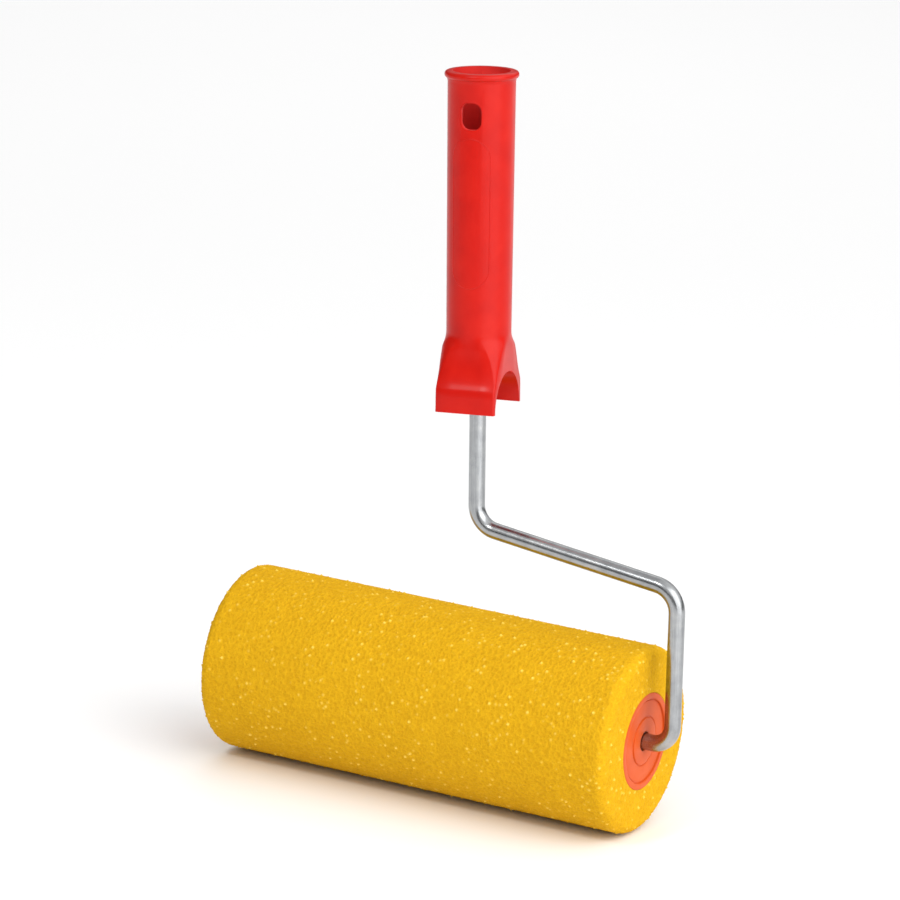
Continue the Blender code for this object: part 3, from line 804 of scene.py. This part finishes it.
def hang_hole_solid(reach):
    """The hanging hole's outline carried from the front to the back, drawn in evenly by the mould's draft."""
    x, z = hang_hole_outline()
    near = 1 + HANG_HOLE_DRAFT * (reach / TUBE_TOP_RADIUS - 1) / 2
    far = 1 - HANG_HOLE_DRAFT * (reach / TUBE_TOP_RADIUS + 1) / 2
    return closed_tube("cutter", np.stack([
        np.stack([x * scale, 0 * x + y, HANG_HOLE_Z + z * scale], axis=1)
        for scale, y in ((near, -reach), (far, reach))]))


def pocket_solids():
    """The hollow round the wire boss, as the four quarters that the ribs leave: each is a sector of a ring,
    with its sides set back from the rib's middle by half the rib."""
    outer_count, inner_count = 14, 10
    outer_start = math.asin(RIB_THICKNESS / 2 / SOCKET_FLOOR_RADIUS)
    inner_start = math.asin(RIB_THICKNESS / 2 / BOSS_RADIUS)
    outer = np.linspace(outer_start, math.pi / 2 - outer_start, outer_count)
    inner = np.linspace(math.pi / 2 - inner_start, inner_start, inner_count)
    radius = np.concatenate([np.full(outer_count, SOCKET_FLOOR_RADIUS), np.full(inner_count, BOSS_RADIUS)])
    angle = np.concatenate([outer, inner])
    made = []
    for quarter in range(4):
        turn = angle + quarter * math.pi / 2
        low = np.stack([radius * np.cos(turn), radius * np.sin(turn), 0 * turn + POCKET_BOTTOM], axis=1)
        made.append(closed_tube("cutter", np.stack([low, low + (0, 0, WEB_BOTTOM - POCKET_BOTTOM)])))
    return made


def panel_line():
    """A thin bead on the front of the grip, along an upright outline with round ends: a small circle carried
    along the outline, which is wrapped on the tube and sunk by most of the bead's radius."""
    sides = 10
    least_step = 0.00005
    turn = np.linspace(0, math.pi, 40)
    rise = np.linspace(PANEL_LOW + PANEL_HALF_WIDTH, PANEL_HIGH - PANEL_HALF_WIDTH, 60)
    across = np.concatenate([PANEL_HALF_WIDTH * np.cos(turn), 0 * rise - PANEL_HALF_WIDTH,
                             -PANEL_HALF_WIDTH * np.cos(turn), 0 * rise + PANEL_HALF_WIDTH])
    height = np.concatenate([PANEL_HIGH - PANEL_HALF_WIDTH + PANEL_HALF_WIDTH * np.sin(turn), rise[::-1],
                             PANEL_LOW + PANEL_HALF_WIDTH - PANEL_HALF_WIDTH * np.sin(turn), rise])
    keep = np.hypot(np.diff(across, append=across[0]), np.diff(height, append=height[0])) > least_step
    across, height = across[keep], height[keep]
    share = (height - SKIRT_HEIGHT) / (HANDLE_LENGTH - PANEL_TUBE_END - SKIRT_HEIGHT)
    surface = TUBE_BOTTOM_RADIUS + (TUBE_TOP_RADIUS - TUBE_BOTTOM_RADIUS) * share
    angle = across / TUBE_BOTTOM_RADIUS
    outward = np.stack([np.sin(angle), -np.cos(angle), 0 * angle], axis=1)
    line = outward * (surface - 0.6 * PANEL_LINE)[:, None]
    line[:, 2] += height
    ahead = np.roll(line, -1, axis=0) - np.roll(line, 1, axis=0)
    ahead /= np.linalg.norm(ahead, axis=1, keepdims=True)
    aside = np.cross(ahead, outward)
    around = circle_angles(sides)[None, :, None]
    points = line[:, None] + PANEL_LINE * (outward[:, None] * np.cos(around) + aside[:, None] * np.sin(around))
    mesh = quad_mesh("panel_line", points.reshape(-1, 3), grid_faces(len(line), sides, True, True))
    face_outwards(mesh)
    return mesh


def apply_modifiers(made):
    """Turn an object's modifiers into its mesh, and return that mesh."""
    bpy.context.view_layer.update()
    depsgraph = bpy.context.evaluated_depsgraph_get()
    mesh = bpy.data.meshes.new_from_object(made.evaluated_get(depsgraph))
    made.modifiers.clear()
    made.data = mesh
    return mesh


def cut(made, cutters):
    """Take closed meshes out of an object."""
    tools = [new_object("handle_cutter", cutter) for cutter in cutters]
    for tool in tools:
        step = made.modifiers.new(tool.name, "BOOLEAN")
        step.operation = "DIFFERENCE"
        step.solver = "EXACT"
        step.object = tool
    apply_modifiers(made)
    for tool in tools:
        bpy.data.objects.remove(tool)


def rounded(made, width, segments, limit):
    """Round an object's crisp edges, or the edges that are marked, and return its new mesh."""
    ease = made.modifiers.new("eased_edges", "BEVEL")
    ease.width = width
    ease.segments = segments
    ease.limit_method = limit
    ease.angle_limit = math.radians(40)
    ease.use_clamp_overlap = True
    return apply_modifiers(made)


def round_hang_hole(made):
    """Mark the edges round the hanging hole's two openings, which lie on the tube's outside and within the
    hole's own width and height, and round them into a lip."""
    mesh = made.data
    edge_ends = np.empty(len(mesh.edges) * 2, dtype=np.int32)
    mesh.edges.foreach_get("vertices", edge_ends)
    x, y, z = point_places(mesh)[edge_ends.reshape(-1, 2)].mean(axis=1).T
    reach = 0.6
    on_lip = (np.abs(z - HANG_HOLE_Z) < HANG_HOLE_HEIGHT * reach) & (np.abs(x) < HANG_HOLE_WIDTH * reach)
    on_lip &= np.hypot(x, y) > TUBE_BOTTOM_RADIUS - 0.0001
    weight = mesh.attributes.new("bevel_weight_edge", "FLOAT", "EDGE")
    weight.data.foreach_set("value", on_lip.astype(np.float32))
    mesh = rounded(made, HANG_HOLE_LIP, 5, "WEIGHT")
    mesh.attributes.remove(mesh.attributes["bevel_weight_edge"])


def add_mesh(mesh, other):
    """Put another mesh's faces into a mesh."""
    shape = bmesh.new()
    shape.from_mesh(mesh)
    shape.from_mesh(other)
    shape.to_mesh(mesh)
    shape.free()


def socket_share(places):
    """How far each point is inside the pole socket, from 0 to 1: by its distance from the handle's axis, and
    less near the mouth. Below the socket's floor it is 0."""
    margin, fade, mouth_depth, mouth_share = 0.001, 0.0008, 0.009, 0.35
    x, y, z = places.T
    within = np.clip((SOCKET_TOP_RADIUS + margin - np.hypot(x, y)) / fade, 0, 1)
    deep = np.clip((HANDLE_LENGTH - z) / mouth_depth, mouth_share, 1) * (z > SOCKET_FLOOR - margin)
    return within * deep


def moulded_handle():
    """The outside as one closed loft, opened by the socket, the pocket, the arch, the hanging hole and the
    wire seat, with every crisp edge then eased by a small bevel."""
    made = new_object("moulded_handle", closed_tube("moulded_handle", handle_outside()))
    mouth = HANDLE_LENGTH + OVERSHOOT
    socket = lathe_solid([(0, mouth), (SOCKET_TOP_RADIUS, mouth), (SOCKET_TOP_RADIUS, HANDLE_LENGTH),
                          (SOCKET_FLOOR_RADIUS, SOCKET_FLOOR), (BOSS_RADIUS, SOCKET_FLOOR),
                          (BOSS_RADIUS - 0.0004, BOSS_TOP), (0, BOSS_TOP)])
    arch = lathe_solid([(0, ARCH_REACH), (ARCH_RADIUS, ARCH_REACH),
                        (ARCH_RADIUS, -ARCH_REACH), (0, -ARCH_REACH)])
    arch.transform(Matrix.Rotation(math.pi / 2, 4, "Y"))
    bore, bore_top = WIRE_RADIUS + GAP, WIRE_SEAT + GAP
    seat = lathe_solid([(0, bore_top), (bore, bore_top), (bore, -OVERSHOOT), (0, -OVERSHOOT)], steps=48)
    cut(made, [socket, hang_hole_solid(HANG_HOLE_REACH)])
    round_hang_hole(made)
    cut(made, [*pocket_solids(), arch, seat])
    mesh = rounded(made, EDGE_EASE, 3, "ANGLE")
    add_mesh(mesh, panel_line())
    point_values(mesh, "inside", socket_share(point_places(mesh)))
    put_on_wire(mesh)
    smooth(mesh, 40)
    mesh.materials.clear()
    mesh.materials.append(RED)
    return made


# Assembly ---------------------------------------------------------------------------------------
foam = foam_cover()
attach(foam, "roller")
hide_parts("foam_cover")

core = core_tube()
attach(core, "roller")
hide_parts("core_tube")

for side, place in ((1, "right"), (-1, "left")):
    cap = end_cap(f"{place}_ringed_cap", side)
    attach(cap, "roller")
    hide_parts(f"{place}_end_cap")
    sleeve = bush(f"{place}_axle_sleeve", side)
    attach(sleeve, "roller")
    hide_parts(f"{place}_bush")
    ring = washer(f"{place}_thrust_ring", side)
    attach(ring, "frame")
    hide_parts(f"{place}_washer")

wire = wire_tube()
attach(wire, "frame")
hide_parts("wire_frame")

handle = moulded_handle()
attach(handle, "frame")
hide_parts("handle")


# Studio -----------------------------------------------------------------------------------------

def studio_floor():
    """A wide pale floor with a faint cloud in its tone, just under the tool."""
    half, level = 30.0, -0.0006
    made, tree, shader = new_material("pale_floor", (0.9, 0.9, 0.9), 0.6)
    cloud = noise(tree, object_place(tree), scale=0.8, detail=2.0)
    tones = ramp(tree, cloud, [(0.3, (0.965, 0.965, 0.965)), (0.7, (0.985, 0.985, 0.985))])
    tree.links.new(tones, shader.inputs["Base Color"])
    corners = np.array([(-half, -half, level), (half, -half, level), (half, half, level), (-half, half, level)])
    mesh = quad_mesh("floor", corners, np.array([[0, 1, 2, 3]]))
    mesh.materials.append(made)
    floor = new_object("floor", mesh)


def towards(azimuth, elevation):
    """A unit vector at an azimuth and an elevation in degrees. Azimuth 0 is in front, and 90 is at +X."""
    azimuth, elevation = math.radians(azimuth), math.radians(elevation)
    return Vector((math.sin(azimuth) * math.cos(elevation), -math.cos(azimuth) * math.cos(elevation),
                   math.sin(elevation)))


def area_light(name, azimuth, elevation, distance, size, power, aim=(0.0, 0.0, 0.13)):
    """A square soft light aimed at a place, which is the tool's middle unless it is given."""
    light = bpy.data.lights.new(name, "AREA")
    light.size = size
    light.energy = power
    made = new_object(name, light)
    back = towards(azimuth, elevation)
    made.location = Vector(aim) + back * distance
    made.rotation_euler = (-back).to_track_quat("-Z", "Y").to_euler()


def studio():
    """Soft light all round, brighter above and to the right and dim from the horizon down, with a broad key
    from the right, a small light in front, and one above the floor behind the tool that keeps it white."""
    world = bpy.data.worlds.new("soft_studio")
    world.use_nodes = True
    tree = world.node_tree
    direction = tree.nodes.new("ShaderNodeSeparateXYZ")
    tree.links.new(tree.nodes.new("ShaderNodeTexCoord").outputs["Generated"], direction.inputs["Vector"])
    height = node(tree, "ShaderNodeMapRange", From_Min=-1.0)
    tree.links.new(direction.outputs["Z"], height.inputs["Value"])
    tones = [(0.50, 0.14), (0.60, 0.20), (0.70, 1.05), (1.0, 1.35)]
    sky = ramp(tree, height.outputs["Result"], [(place, (tone,) * 3) for place, tone in tones])
    side = node(tree, "ShaderNodeMapRange", From_Min=-1.0, To_Min=0.14, To_Max=1.40)
    tree.links.new(direction.outputs["X"], side.inputs["Value"])
    background = tree.nodes["Background"]
    tree.links.new(sky, background.inputs["Color"])
    tree.links.new(side.outputs["Result"], background.inputs["Strength"])
    bpy.context.scene.world = world
    area_light("key", azimuth=68, elevation=26, distance=1.3, size=1.55, power=13.5)
    area_light("front", azimuth=-9, elevation=42, distance=1.2, size=0.15, power=2.7)
    area_light("backdrop", azimuth=0, elevation=90, distance=1.5, size=1.5, power=5.0, aim=(-0.9, 1.8, 0.0))
    bpy.context.scene.view_settings.view_transform = "Standard"


def camera():
    """A long lens in front and to the right, a little above, rolled so that the handle stands upright."""
    distance = 1.926
    target = Vector((-0.00927, -0.00258, 0.13781))
    back = towards(azimuth=27.30, elevation=13.91)
    roll = Matrix.Rotation(math.radians(3.90), 3, "Z")
    data = bpy.data.cameras.new("camera")
    data.sensor_width = 36.0
    data.lens = 197.7
    made = new_object("camera", data)
    level = (-back).to_track_quat("-Z", "Y").to_matrix()
    made.matrix_world = Matrix.Translation(target + back * distance) @ (level @ roll).to_4x4()
    bpy.context.scene.camera = made


studio_floor()
studio()
camera()

bpy.context.view_layer.update()
